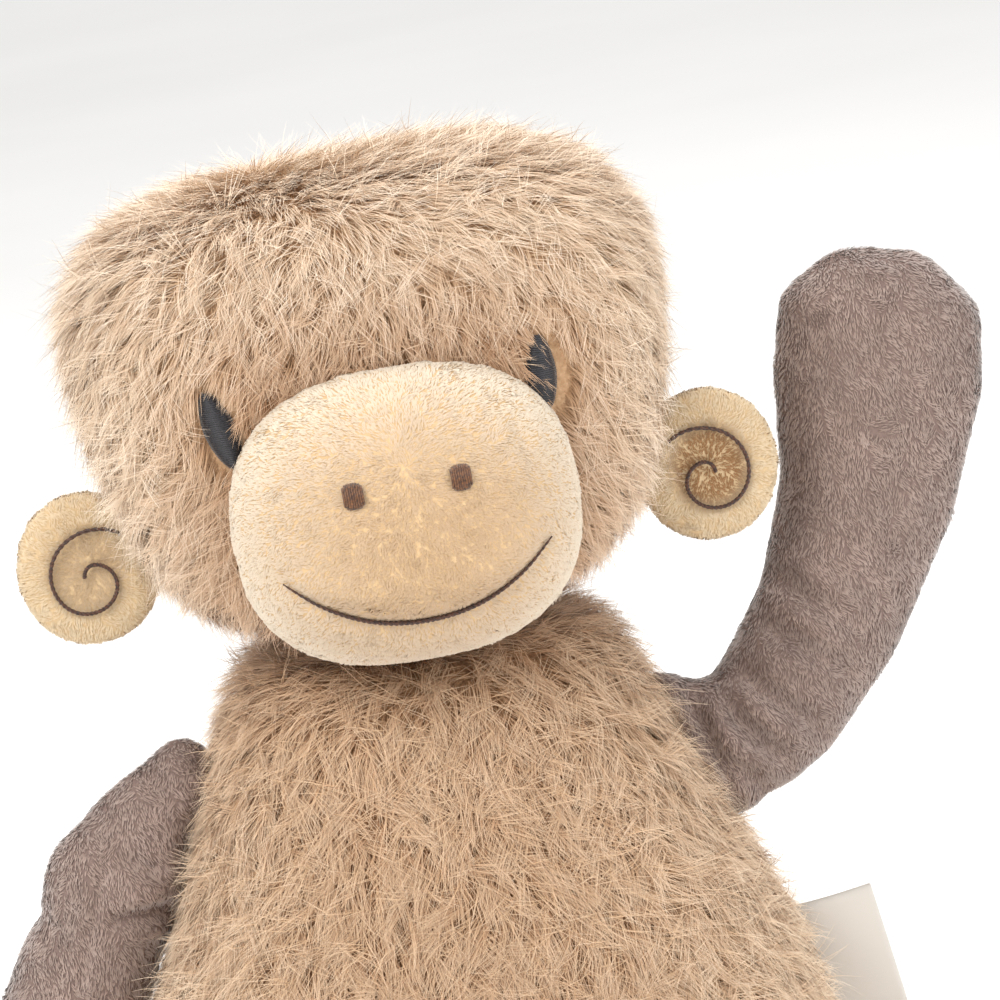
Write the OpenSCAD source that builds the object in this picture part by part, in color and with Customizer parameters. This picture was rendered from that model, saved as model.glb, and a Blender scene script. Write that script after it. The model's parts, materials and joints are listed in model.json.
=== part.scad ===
// Seated plush monkey. It faces -Y, +Z is up, and the origin is the middle of the flat seat.
// Each fur, plush or minky panel is a shell with real thickness, sewn edge to edge with its
// neighbours around a fibre core. The panels are built as slabs between an outer and an inner
// surface, and both surfaces come from one formula for each part of the body.

/* [Head] */
// Widest width of the head skin, across the brow
head_w = 137; // [125:1:148]
// Depth of the head skin, front to back
head_d = 92; // [84:1:100]
// Height of the head skin, from under the chin to the crown
head_h = 105; // [98:1:110]
// Height of the middle of the head above the seat
head_z = 220.5; // [218:0.5:224]
// Width of the muzzle
muzzle_w = 82; // [72:1:88]
// Height of the muzzle
muzzle_h = 70; // [62:1:74]
// How far the muzzle stands out from the face
muzzle_out = 31; // [22:1:36]

/* [Ears] */
// Width of an ear outside its seam
ear_w = 34; // [28:1:36]
// Height of an ear
ear_h = 37; // [30:1:42]
// Thickness of an ear at its puffed rim
ear_t = 8; // [6:0.5:9]

/* [Body] */
// Height of the torso from the seat to the neck
torso_h = 158; // [154:1:159]
// Scale of the torso's width and depth
torso_scale = 1; // [0.94:0.01:1.02]
// Thickness of the pile fabric, backing and dense pile together
fur_t = 3.5; // [2:0.5:5]
// Thickness of the short minky fabric
minky_t = 1.8; // [1.2:0.2:2.4]

/* [Limbs] */
// Scale of the width of the arms and legs
limb_scale = 1; // [0.9:0.01:1.02]
// Half thickness of a leg
leg_half_t = 18.5; // [15:0.5:19]
// Length of a leg from the hip seam
leg_len = 104; // [90:1:115]
// Outward turn of each leg, in degrees
leg_turn = 14; // [8:1:18]
// Half thickness of the tail
tail_r = 9; // [7:0.5:10]

/* [Label] */
// How far the folded ribbon stands out of the side seam
label_out = 21; // [16:1:24]
// Width of the ribbon along the seam
label_h = 40; // [30:1:44]

/* [Hidden] */

// Colours of the cloths and threads
long_pile = [0.80, 0.68, 0.55];
body_pile = [0.82, 0.68, 0.50];
cream_minky = [0.94, 0.83, 0.63];
tan_minky = [0.85, 0.69, 0.44];
taupe_minky = [0.52, 0.45, 0.41];
thread_brown = [0.20, 0.10, 0.06];
eye_thread = [0.10, 0.10, 0.12];
fibre = [0.95, 0.95, 0.93];
bean_cloth = [0.88, 0.86, 0.80];
satin = [0.92, 0.90, 0.87];

// Clearances: between a panel and its core, and between stitching and the cloth under it
core_gap = 0.3;
stitch_gap = 0.15;

// Head: roundness of its box shape, and its half width low, at the brow and at the crown
head_round = 4;
brow_level = 0.45;
chin_w = 0.70;
crown_w = 0.93;
hz = head_h / 2;
hy = head_d / 2;

// Grid sizes of the slabs, and the sides of the cores
panel_n = 7;
limb_n = 6;
limb_m = 9;
core_sides = 20;

// ---------------------------------------------------------------- helpers
function lerp(a, b, t) = a + (b - a) * t;
function pnorm(v, k) = pow(pow(abs(v.x), k) + pow(abs(v.y), k) + pow(abs(v.z), k), 1 / k);
function flat(lists) = [for (l = lists) each l];
// Grid values that crowd towards both ends, where a shape rounds off
function eased(j, m) = (1 - cos(180 * j / m)) / 2;
// A point of the square from -1 to 1, moved into the unit disc
function disc(u, v) = [u * sqrt(1 - v * v / 2), v * sqrt(1 - u * u / 2)];

// The faces of a slab whose outer and inner grids have m + 1 rows of n + 1 points
function slab_faces(n, m, flip) =
    let (w = n + 1, far = (n + 1) * (m + 1))
    let (quads = flat([
        [for (j = [0:m - 1], i = [0:n - 1])
            [j * w + i, j * w + i + 1, (j + 1) * w + i + 1, (j + 1) * w + i]],
        [for (j = [0:m - 1], i = [0:n - 1])
            [far + j * w + i, far + (j + 1) * w + i, far + (j + 1) * w + i + 1, far + j * w + i + 1]],
        [for (i = [0:n - 1]) [i, far + i, far + i + 1, i + 1]],
        [for (i = [0:n - 1])
            [m * w + i + 1, far + m * w + i + 1, far + m * w + i, m * w + i]],
        [for (j = [0:m - 1]) [(j + 1) * w, far + (j + 1) * w, far + j * w, j * w]],
        [for (j = [0:m - 1])
            [j * w + n, far + j * w + n, far + (j + 1) * w + n, (j + 1) * w + n]]
    ]))
    [for (q = quads, k = [0, 1])
        let (t = k == 0 ? [q[0], q[1], q[2]] : [q[0], q[2], q[3]])
        flip ? [t[2], t[1], t[0]] : t];

// A closed panel between two grids of points
module slab(outer, inner, flip = false) {
    n = len(outer[0]) - 1;
    m = len(outer) - 1;
    polyhedron(points = concat(flat(outer), flat(inner)), faces = slab_faces(n, m, flip));
}

// A closed solid through rings of points, with its two ends closed to a middle point
module ringed(rings, flip = false) {
    n = len(rings[0]);
    m = len(rings) - 1;
    first = [for (k = [0:2]) mean(rings[0], k)];
    last = [for (k = [0:2]) mean(rings[m], k)];
    all = concat(flat(rings), [first, last]);
    a = n * (m + 1);
    sides = flat([for (j = [0:m - 1], i = [0:n - 1])
        let (p = j * n + i, q = j * n + (i + 1) % n)
        [[p, q, q + n], [p, q + n, p + n]]]);
    ends = flat([for (i = [0:n - 1])
        let (k = (i + 1) % n)
        [[a, k, i], [a + 1, m * n + i, m * n + k]]]);
    faces = concat(sides, ends);
    polyhedron(points = all, faces = flip ? [for (f = faces) [f[2], f[1], f[0]]] : faces);
}

function mean(ring, k) = let (v = [for (p = ring) p[k]]) v * [for (x = v) 1] / len(v);

// A thread laid along points, as a tube of the given radius
thread_sides = 6;
module thread(points, r) {
    m = len(points) - 1;
    rings = [for (j = [0:m])
        let (d = points[min(j + 1, m)] - points[max(j - 1, 0)])
        let (along = d / norm(d), side = cross(along, [0, 1, 0]))
        let (s = side / norm(side), t = cross(s, along))
        let (rr = j == 0 || j == m ? r * 0.4 : r)
        [for (i = [0:thread_sides - 1])
            points[j] + rr * (cos(360 * i / thread_sides) * s + sin(360 * i / thread_sides) * t)]];
    ringed(rings);
}

// ---------------------------------------------------------------- head
// Half width of the head at a level from -1, under the chin, to 1, the crown
function head_half_w(level) = head_w / 2 * (level < brow_level
    ? 1 - (1 - chin_w) * pow((brow_level - level) / (1 + brow_level), 1.7)
    : 1 - (1 - crown_w) * pow((level - brow_level) / (1 - brow_level), 2));

// The head's surface in the direction d, set in by the depth t
function head_at(d, t) =
    let (n = d / pnorm(d, head_round))
    [n.x * (head_half_w(n.z) - t), n.y * (hy - t), head_z + n.z * (hz - t)];

// How far forward the face lies at x and z. Outside the head it is the head's middle plane
function face_y(x, z) =
    let (level = max(-1, min(1, (z - head_z) / hz)))
    let (left = 1 - pow(abs(x) / head_half_w(level), head_round) - pow(abs(level), head_round))
    -hy * pow(max(left, 0), 1 / head_round);

// One side of the head's box. side is a function from u and v to a point of the cube
module head_panel(side, flip = false) {
    grid = [for (j = [0:panel_n]) [for (i = [0:panel_n])
        side(tan(45 * (2 * i / panel_n - 1)), tan(45 * (2 * j / panel_n - 1)))]];
    slab([for (row = grid) [for (d = row) head_at(d, 0)]],
         [for (row = grid) [for (d = row) head_at(d, fur_t)]], flip);
}

module face_panel() { color(long_pile) head_panel(function(u, v) [u, -1, v], true); }
module head_back_panel() { color(long_pile) head_panel(function(u, v) [u, 1, v]); }
module crown_panel() { color(long_pile) head_panel(function(u, v) [u, v, 1], true); }
module chin_panel() { color(long_pile) head_panel(function(u, v) [u, v, -1]); }
module cheek_panel(s) { color(long_pile) head_panel(function(u, v) [s, u, v], s > 0); }

// Rings of a core inside the head
core_rows = 9;
module head_stuffing() {
    color(fibre) ringed([for (j = [1:core_rows])
        let (lat = lerp(-90, 90, j / (core_rows + 1)))
        [for (i = [0:core_sides - 1])
            head_at([cos(lat) * cos(360 * i / core_sides),
                cos(lat) * sin(360 * i / core_sides), sin(lat)], fur_t + 1.5)]], flip = true);
}

// ---------------------------------------------------------------- muzzle and features
muzzle_z = 196.5;
muzzle_back_y = -38;
muzzle_full = 3;
muzzle_n = 10;

// Where the muzzle's back lies at x and z: on the face, or on a plane where the face curves away
function muzzle_back(x, z) = min(face_y(x, z), muzzle_back_y) - 0.4;
// The muzzle's front at a point of the unit disc, set in by the depth t
function muzzle_front(p, t) =
    let (x = p.x * (muzzle_w / 2 - t), z = muzzle_z + p.y * (muzzle_h / 2 - t))
    let (r = min(1, norm(p)))
    [x, muzzle_back(x, z) - 1 - (muzzle_out - 1 - t) * pow(1 - pow(r, muzzle_full), 0.55)
        * (1 - 0.12 * p.y), z];
function muzzle_rear(p, t) =
    let (x = p.x * (muzzle_w / 2 - t), z = muzzle_z + p.y * (muzzle_h / 2 - t))
    [x, muzzle_back(x, z), z];
// The muzzle's front at x and z
function muzzle_y(x, z) = muzzle_front([x / (muzzle_w / 2), (z - muzzle_z) / (muzzle_h / 2)], 0).y;

// Points of the muzzle, kept just inside the rim so that its edge stays a wall
rim_share = 0.995;
function muzzle_grid() = [for (j = [0:muzzle_n]) [for (i = [0:muzzle_n])
    disc(2 * eased(i, muzzle_n) - 1, 2 * eased(j, muzzle_n) - 1) * rim_share]];
module muzzle_cover() {
    grid = muzzle_grid();
    color(cream_minky) slab([for (row = grid) [for (p = row) muzzle_front(p, 0)]],
         [for (row = grid) [for (p = row) muzzle_front(p, minky_t)]], true);
}
module muzzle_stuffing() {
    grid = muzzle_grid();
    t = minky_t + core_gap;
    color(fibre) slab([for (row = grid) [for (p = row) muzzle_front(p, t)]],
         [for (row = grid) [for (p = row) muzzle_rear(p, t)]], true);
}

// A flat stitched patch, as an oval that lies on the depth given by lie(x, z)
patch_n = 6;
module patch(at, half_w, half_h, thick, lie) {
    grid = [for (j = [0:patch_n]) [for (i = [0:patch_n])
        disc(2 * i / patch_n - 1, 2 * j / patch_n - 1)]];
    function lay(p, off) =
        let (x = at.x + half_w * p.x, z = at.y + half_h * p.y) [x, lie(x, z) - off, z];
    slab([for (row = grid) [for (p = row) lay(p, stitch_gap + thick * (1 - 0.5 * norm(p)))]],
         [for (row = grid) [for (p = row) lay(p, stitch_gap)]], true);
}

// Places of the features across and up
eye_x = 38.4;
eye_z = 223;
nostril_x = 12.6;
nostril_z = 208;
module eye(s) {
    color(eye_thread)
        patch([s * eye_x, eye_z], 4.6, 9.6, 1.6, function(x, z) face_y(x, z));
}
module nostril(s) {
    color(thread_brown)
        patch([s * nostril_x, nostril_z], 2.4, 2.8, 1.2, function(x, z) muzzle_y(x, z));
}

// The smile: half width, height of its ends and of its middle, and the thread's radius
smile_half_w = 32;
smile_end_z = 190;
smile_mid_z = 174.7;
smile_steps = 24;
smile_r = 0.9;
module mouth_stitching() {
    points = [for (i = [0:smile_steps])
        let (x = smile_half_w * (2 * i / smile_steps - 1))
        let (z = lerp(smile_mid_z, smile_end_z, pow(abs(x) / smile_half_w, 2.1)))
        [x, muzzle_y(x, z) - smile_r - stitch_gap - 0.4, z]];
    color(thread_brown) thread(points, smile_r);
}

// ---------------------------------------------------------------- ears
// The inner edge of an ear lies just outside the cheek
ear_seam_x = 57.5;
ear_x = ear_seam_x + ear_w / 2;
ear_y = -10;
ear_z = 188;
ear_n = 8;
rim_at = 0.75;
ear_cloth_t = 1.2;
// Half thickness of an ear at a point of the unit disc: a puffed rim around a dished middle
function ear_half(p) =
    let (r = min(1, norm(p)))
    ear_t / 2 * (r < rim_at ? lerp(0.55, 1, pow(r / rim_at, 2))
        : sqrt(max(0, 1 - pow((r - rim_at) / (1 - rim_at), 2))));
function ear_point(s, p, out, t) =
    [s * (ear_x + p.x * (ear_w / 2 - t)), ear_y + out * max(ear_half(p) - t, 0),
        ear_z + p.y * (ear_h / 2 - t)];
function ear_grid() = [for (j = [0:ear_n]) [for (i = [0:ear_n])
    disc(2 * eased(i, ear_n) - 1, 2 * eased(j, ear_n) - 1)]];
// out is -1 for the front panel and 1 for the back panel
module ear_panel(s, out) {
    grid = ear_grid();
    color(tan_minky) slab([for (row = grid) [for (p = row) ear_point(s, p, out, 0)]],
        [for (row = grid) [for (p = row) ear_point(s, p, out, ear_cloth_t)]],
        s * out < 0);
}
module ear_padding(s) {
    grid = ear_grid();
    inset = ear_cloth_t + 2 * core_gap;
    share = 0.8;
    color(fibre) slab(
        [for (row = grid) [for (p = row) ear_point(s, p * share, -1, inset)]],
        [for (row = grid) [for (p = row) ear_point(s, p * share, 1, inset)]], s > 0);
}
// The stitched curl: a spiral that starts at the ear's inner edge and winds in
curl_steps = 30;
curl_drop = 3;
curl_from = 130;
curl_to = -310;
curl_r = 0.55;
curl_lift = 0.75;
// How far the curl is from its middle at each angle as it winds in
curl_reach = [[-310, 1.6], [-270, 4.2], [-180, 6.2], [-90, 7], [0, 9], [60, 11.5], [130, 14.5]];
module ear_curl(s) {
    points = [for (i = [0:curl_steps])
        let (a = lerp(curl_from, curl_to, i / curl_steps), reach = lookup(a, curl_reach))
        let (p = [reach * cos(a) / (ear_w / 2), (reach * sin(a) - curl_drop) / (ear_h / 2)])
        ear_point(s, p, -1, 0) - [0, curl_lift, 0]];
    color(thread_brown) thread(points, curl_r);
}

// ---------------------------------------------------------------- torso
// Half width and half depth of the torso skin at each height above the seat
torso_w = [[0, 72], [10, 80], [27, 84], [50, 81], [73, 75.5], [106, 62], [135, 51.5],
    [148, 46.5], [154, 42], [158, 36]];
torso_d = [[0, 48], [10, 56], [27, 60], [50, 58.5], [73, 55], [106, 48], [135, 41],
    [148, 37], [154, 33.5], [158, 28]];
torso_levels = [0, 0.06, 0.16, 0.3, 0.46, 0.62, 0.76, 0.88, 0.95, 1];
torso_round = 2.5;
torso_table_h = 158;
// A point of the torso's skin at an angle from +X and at a level, set in by t
function torso_at(angle, level, t) =
    let (z = level * torso_table_h, c = cos(angle), s = sin(angle))
    let (r = pow(pow(abs(c), torso_round) + pow(abs(s), torso_round), -1 / torso_round))
    [(lookup(z, torso_w) * torso_scale - t) * r * c, (lookup(z, torso_d) * torso_scale - t) * r * s,
        z * torso_h / torso_table_h];
module torso_panel(from, to, cols) {
    grid = [for (l = torso_levels) [for (i = [0:cols]) [lerp(from, to, i / cols), l]]];
    color(body_pile) slab([for (row = grid) [for (p = row) torso_at(p[0], p[1], 0)]],
        [for (row = grid) [for (p = row) torso_at(p[0], p[1], fur_t)]], true);
}
module body_front_panel() { torso_panel(180, 360, 18); }
module body_back_panel_right() { torso_panel(0, 90, 9); }
module body_back_panel_left() { torso_panel(90, 180, 9); }

torso_sides = 48;
function torso_outline(level, t) =
    [for (i = [0:torso_sides - 1])
        let (p = torso_at(360 * i / torso_sides, level, t)) [p.x, p.y]];
// The flat oval that the toy sits on, inside the lower edge of the body panels
module seat_panel() {
    color(body_pile) linear_extrude(fur_t) polygon(torso_outline(0, fur_t + 0.3));
}
// The oval that closes the top of the torso under the neck
module shoulder_panel() {
    color(body_pile) translate([0, 0, torso_h - fur_t])
        linear_extrude(fur_t) polygon(torso_outline(1, fur_t + 0.3));
}
pouch_h = 34;
pouch_half_w = 60;
pouch_half_d = 38;
module body_stuffing() {
    floor_z = (fur_t + pouch_h + 1.5) / torso_h;
    top_z = (torso_h - fur_t - 1) / torso_h;
    levels = [for (j = [0:8]) lerp(floor_z, top_z, j / 8)];
    color(fibre) ringed([for (l = levels) [for (i = [0:core_sides - 1])
        torso_at(360 * i / core_sides, l, fur_t + 3)]], flip = true);
}
// A cloth pouch of beans that weighs the seat down
module bean_pouch() {
    color(bean_cloth) translate([0, 0, fur_t + 0.5]) ringed([for (j = [0:6])
        let (f = j / 6, r = lerp(0.72, 1, sin(180 * f)))
        [for (i = [0:core_sides - 1])
            [pouch_half_w * r * cos(360 * i / core_sides),
                pouch_half_d * r * sin(360 * i / core_sides), pouch_h * f]]],
        flip = true);
}
// The ladder stitch that closes the back after stuffing
seam_r = 0.6;
seam_out = 0.8;
module closing_seam() {
    steps = 14;
    points = [for (i = [0:steps])
        let (l = lerp(0.25, 0.62, i / steps), p = torso_at(90, l, 0))
        [seam_r * (i % 2 == 0 ? 1 : -1), p.y + seam_out + stitch_gap, p.z]];
    color(thread_brown) closing_thread(points);
}
module closing_thread(points) {
    rings = [for (p = points) [for (i = [0:thread_sides - 1])
        p + seam_r * [cos(360 * i / thread_sides), sin(360 * i / thread_sides), 0]]];
    ringed(rings, flip = true);
}

// The short fabric neck between the shoulder panel and the head
neck_r = 22;
// Room for the chin to dip when the head nods
nod_gap = 3.7;
module neck_tube() {
    low = torso_h + 0.6;
    high = head_z - hz - nod_gap;
    color(body_pile) translate([0, 0, low]) difference() {
        cylinder(h = high - low, r = neck_r, $fn = 48);
        translate([0, 0, -1]) cylinder(h = high - low + 2, r = neck_r - fur_t, $fn = 48);
    }
}

// The folded ribbon in the right side seam
label_top_z = 71;
// The ribbon leans out with the seam, and its inner edge lies just outside the skin
label_lean = 10;
function skin_x(z) = lookup(z, torso_w) * torso_scale;
label_x = max([for (z = [label_top_z - label_h:4:label_top_z])
    skin_x(z) + core_gap - (label_top_z - z) * tan(label_lean)]);
ribbon_t = 0.5;
ribbon_fold_r = 1.3;
module side_label() {
    color(satin) translate([label_x, 0, label_top_z]) rotate([0, -label_lean, 0])
        translate([0, 0, -label_h]) linear_extrude(label_h) difference() {
            hairpin(label_out, ribbon_fold_r);
            hairpin(label_out - ribbon_t, ribbon_fold_r - ribbon_t);
        }
}
module hairpin(out, r) {
    translate([out - r, 0]) circle(r = r, $fn = 24);
    translate([1, -r]) square([out - r - 1, 2 * r]);
}

// ---------------------------------------------------------------- arms, legs and tail
// A limb is a list of stations: the place of its middle, the angle of its width in the XZ
// plane, its half width and its half thickness. Its two panels meet along both edges.
function at_station(list, f) =
    let (n = len(list) - 1, k = min(n - 1, floor(f * n)), t = f * n - k)
    [for (i = [0:5]) lerp(list[k][i], list[k + 1][i], t)];
// How much of the full size is left near an end, over the share r of the length
function end_round(f, r, least) =
    let (a = f < r ? 1 - f / r : (f > 1 - r ? 1 - (1 - f) / r : 0))
    max(least, sqrt(max(0, 1 - a * a)));
function limb_at(list, u, f, out, t, end) =
    let (inset = t / (len(list) * 12), s = at_station(list, lerp(inset, 1 - inset, f)))
    let (w = s[4] * limb_scale * end_round(f, end[0], end[1]) - t)
    let (h = max(0, s[5] * end_round(f, end[0], 0) - t))
    [s[0] + cos(s[3]) * w * sin(90 * u), s[1] + out * h * cos(90 * u),
        s[2] + sin(s[3]) * w * sin(90 * u)];
// out is -1 for the front panel and 1 for the back panel
module limb_panel(list, out, end) {
    grid = [for (j = [0:limb_m]) [for (i = [0:limb_n]) [2 * i / limb_n - 1, eased(j, limb_m)]]];
    color(taupe_minky) slab(
        [for (row = grid) [for (p = row) limb_at(list, p[0], p[1], out, 0, end)]],
        [for (row = grid) [for (p = row) limb_at(list, p[0], p[1], out, minky_t, end)]],
        out > 0);
}
// How the ends round off: the share of the length, and the share of the width that is left
upper_end = [0.3, 0.9];
lower_end = [0.12, 0.5];
leg_end = [0.14, 0.3];
// Room between a limb panel and its core, which both have flat facets
limb_room = 1.7;
core_flat = 0.92;
module limb_core(list, end) {
    sides = 12;
    color(fibre) ringed([for (j = [0:7])
        let (f = lerp(0.16, 0.86, j / 7), s = at_station(list, f))
        let (less = minky_t + limb_room)
        let (w = s[4] * limb_scale * end_round(f, end[0], end[1]) - less)
        let (h = s[5] * end_round(f, end[0], 0) * core_flat - less)
        [for (i = [0:sides - 1])
            [s[0] + cos(s[3]) * w * cos(360 * i / sides), s[1] + h * sin(360 * i / sides),
                s[2] + sin(s[3]) * w * cos(360 * i / sides)]]]);
}

// Stations: x, y, z, width angle, half width, half thickness. The right arm is raised: it
// leaves the side seam, folds under and rises. The left arm hangs outward
upper_arm_right = [
    [57.2, 3, 124, 111, 15, 4], [61.2, 4, 119.5, 106, 15.5, 10], [68.2, 5, 115, 99, 16, 11]];
forearm_right = [
    [69.2, 6, 114.8, 99, 15.5, 11], [79, 7, 117.5, 111, 17, 14], [89, 9, 125.5, 128, 18, 15],
    [102.8, 11, 143, 145, 19, 15], [114.8, 15, 165, 157, 21.5, 15.5], [123, 18, 192, 164, 26, 16],
    [127, 19, 212, 166, 25.5, 15.5], [129.8, 20, 227, 167, 20, 14]];
upper_arm_left = [
    [-59, 3, 127, -111, 14.5, 4], [-68, 4, 122.5, -82, 15, 11], [-77, 5, 113.5, -45, 17, 13],
    [-84.5, 5, 106, -12, 17.5, 11]];
forearm_left = [
    [-84.8, 6, 105, -12, 17.5, 11], [-92.5, 7, 91, -18, 18, 14.5], [-99, 8, 77, -23, 18.5, 15],
    [-108, 9, 57, -24, 21, 15.5], [-117, 10, 37, -24, 24, 15.5], [-123, 10, 24, -25, 23, 15],
    [-128, 10, 12, -26, 17, 13]];

// A leg lies forward on the floor. It is built along +X and then turned to point forward
leg_y = -55.5;
leg_x = 40;
leg_stations = [for (p = [[0, 13, 0.5], [0.12, 17.5, 0.86], [0.3, 18.5, 0.97], [0.5, 19, 1],
    [0.68, 21.5, 1], [0.85, 24.5, 1], [0.95, 23, 0.97], [1, 19, 0.9]])
    [p[0], 0, 0, 90, p[1], leg_half_t * p[2]]];
// A leg point: the station list runs along its length, and the panels face up and down
function leg_at(u, f, out, t) =
    let (s = at_station(leg_stations, lerp(t / leg_len, 1 - t / leg_len, f)))
    let (w = s[4] * limb_scale * end_round(f, leg_end[0], leg_end[1]) - t)
    let (h = max(0, s[5] * end_round(f, leg_end[0], 0) - t))
    [w * sin(90 * u), -leg_len * s[0], out * h * cos(90 * u)];
module leg_place(s) {
    translate([s * leg_x, leg_y, leg_half_t + 0.5]) rotate([0, 0, s * leg_turn]) children();
}
module leg_panel(s, out) {
    grid = [for (j = [0:limb_m]) [for (i = [0:limb_n]) [2 * i / limb_n - 1, eased(j, limb_m)]]];
    color(taupe_minky) leg_place(s) slab(
        [for (row = grid) [for (p = row) leg_at(p[0], p[1], out, 0)]],
        [for (row = grid) [for (p = row) leg_at(p[0], p[1], out, minky_t)]], out < 0);
}
module leg_stuffing(s) {
    sides = 12;
    color(fibre) leg_place(s) ringed([for (j = [0:7])
        let (f = lerp(0.15, 0.87, j / 7), q = at_station(leg_stations, f))
        let (less = minky_t + limb_room)
        let (w = q[4] * limb_scale * end_round(f, leg_end[0], leg_end[1]) - less)
        let (h = q[5] * end_round(f, leg_end[0], 0) * core_flat - less)
        [for (i = [0:sides - 1])
            [w * cos(360 * i / sides), -leg_len * q[0], h * sin(360 * i / sides)]]], flip = true);
}

// The tail leaves the back low down, dips to the floor and curls up to the left
tail_path = [[0, 60.9, 24], [0, 78, 16], [-4, 97, 12.5], [-16, 112, 12], [-34, 118, 14],
    [-52, 112, 22], [-62, 98, 34]];
function tail_mid(f) =
    let (n = len(tail_path) - 1, k = min(n - 1, floor(f * n)), t = f * n - k)
    lerp(tail_path[k], tail_path[k + 1], t);
function tail_side(f) =
    let (d = tail_mid(min(1, f + 0.08)) - tail_mid(max(0, f - 0.08)), s = cross(d, [0, 0, 1]))
    s / norm(s);
function tail_at(u, f, out, t) =
    let (c = tail_mid(lerp(t / 150, 1 - t / 150, f)), s = tail_side(f))
    let (w = tail_r * end_round(f, 0.07, 0.3) - t, h = max(0, tail_r * end_round(f, 0.07, 0) - t))
    c + s * w * sin(90 * u) + [0, 0, out * h * cos(90 * u)];
tail_m = 14;
module tail_panel(out) {
    grid = [for (j = [0:tail_m]) [for (i = [0:limb_n]) [2 * i / limb_n - 1, eased(j, tail_m)]]];
    color(taupe_minky) slab([for (row = grid) [for (p = row) tail_at(p[0], p[1], out, 0)]],
        [for (row = grid) [for (p = row) tail_at(p[0], p[1], out, minky_t)]], out > 0);
}
module tail_stuffing() {
    sides = 10;
    r = tail_r - minky_t - limb_room;
    color(fibre) ringed([for (j = [0:12])
        let (f = lerp(0.05, 0.95, j / 12), c = tail_mid(f), s = tail_side(f))
        [for (i = [0:sides - 1])
            c + s * r * cos(360 * i / sides) + [0, 0, r * sin(360 * i / sides)]]]);
}

face_panel();
crown_panel();
cheek_panel(-1);  // cheek_panel_left
cheek_panel(1);  // cheek_panel_right
head_back_panel();
chin_panel();
head_stuffing();
muzzle_cover();
muzzle_stuffing();
mouth_stitching();
nostril(-1);  // nostril_left
nostril(1);  // nostril_right
eye(-1);  // eye_left
eye(1);  // eye_right
ear_panel(-1, -1);  // ear_front_left
ear_panel(-1, 1);  // ear_back_left
ear_padding(-1);  // ear_padding_left
ear_curl(-1);  // ear_curl_left
ear_panel(1, -1);  // ear_front_right
ear_panel(1, 1);  // ear_back_right
ear_padding(1);  // ear_padding_right
ear_curl(1);  // ear_curl_right
neck_tube();
body_front_panel();
body_back_panel_left();
body_back_panel_right();
seat_panel();
shoulder_panel();
body_stuffing();
bean_pouch();
closing_seam();
side_label();
limb_panel(upper_arm_left, -1, upper_end);  // upper_arm_front_left
limb_panel(upper_arm_left, 1, upper_end);  // upper_arm_back_left
limb_core(upper_arm_left, upper_end);  // upper_arm_stuffing_left
limb_panel(forearm_left, -1, lower_end);  // forearm_front_left
limb_panel(forearm_left, 1, lower_end);  // forearm_back_left
limb_core(forearm_left, lower_end);  // forearm_stuffing_left
limb_panel(upper_arm_right, -1, upper_end);  // upper_arm_front_right
limb_panel(upper_arm_right, 1, upper_end);  // upper_arm_back_right
limb_core(upper_arm_right, upper_end);  // upper_arm_stuffing_right
limb_panel(forearm_right, -1, lower_end);  // forearm_front_right
limb_panel(forearm_right, 1, lower_end);  // forearm_back_right
limb_core(forearm_right, lower_end);  // forearm_stuffing_right
leg_panel(-1, 1);  // leg_top_left
leg_panel(-1, -1);  // leg_under_left
leg_stuffing(-1);  // leg_stuffing_left
leg_panel(1, 1);  // leg_top_right
leg_panel(1, -1);  // leg_under_right
leg_stuffing(1);  // leg_stuffing_right
tail_panel(1);  // tail_top
tail_panel(-1);  // tail_under
tail_stuffing();
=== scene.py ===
# %% [markdown]
# A seated plush monkey. The frame gives the sewn and stuffed structure in metres, with +Z
# up and the face looking along -Y. This file dresses it: stuffed skins, long pile, short
# minky pile, stitched eyes and mouth, and a folded ribbon. Every piece but the arms and
# their pile rides on a body of the frame, so it moves with the joints.
# %% Load the frame
import json
import math
import bpy
import bmesh
import numpy as np
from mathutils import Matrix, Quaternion, Vector
from mathutils.bvhtree import BVHTree
from mathutils.kdtree import KDTree


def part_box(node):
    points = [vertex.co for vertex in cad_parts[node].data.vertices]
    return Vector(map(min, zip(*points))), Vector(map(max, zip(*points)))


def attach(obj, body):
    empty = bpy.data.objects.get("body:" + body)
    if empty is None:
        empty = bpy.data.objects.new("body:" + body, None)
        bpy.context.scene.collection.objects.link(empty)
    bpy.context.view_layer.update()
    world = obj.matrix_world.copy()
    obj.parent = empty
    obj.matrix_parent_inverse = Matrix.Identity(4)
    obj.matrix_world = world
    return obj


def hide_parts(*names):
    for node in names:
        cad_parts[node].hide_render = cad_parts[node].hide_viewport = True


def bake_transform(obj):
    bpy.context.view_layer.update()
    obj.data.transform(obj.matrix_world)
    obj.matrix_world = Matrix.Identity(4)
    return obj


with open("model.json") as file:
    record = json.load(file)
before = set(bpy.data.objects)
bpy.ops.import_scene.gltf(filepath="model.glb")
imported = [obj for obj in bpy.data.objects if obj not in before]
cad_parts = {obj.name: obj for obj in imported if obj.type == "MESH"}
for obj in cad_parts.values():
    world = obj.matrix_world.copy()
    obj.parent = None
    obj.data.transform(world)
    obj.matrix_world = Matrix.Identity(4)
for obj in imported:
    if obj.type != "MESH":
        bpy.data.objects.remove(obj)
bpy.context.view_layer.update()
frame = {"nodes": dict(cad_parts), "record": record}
MM = 0.001

# %% [markdown]
# The camera stands in front of the toy, a little above its muzzle, and leans a few degrees
# so that the toy tilts in the view. A long lens from more than a metre away keeps the
# boxy head from bulging, which a short lens would do. It is made first, because its
# framing decides how large each stitch and hair will look.
# %% Camera
LOOK_AT = Vector((0.0225, -0.045, 0.195))
CAMERA_AZIMUTH, CAMERA_ELEVATION, CAMERA_ROLL = -3.5, 11.0, -9.5
CAMERA_DISTANCE = 1.30
VIEW_WIDTH = 0.2355        # how wide the view is at the face
SENSOR = 36.0


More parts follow.
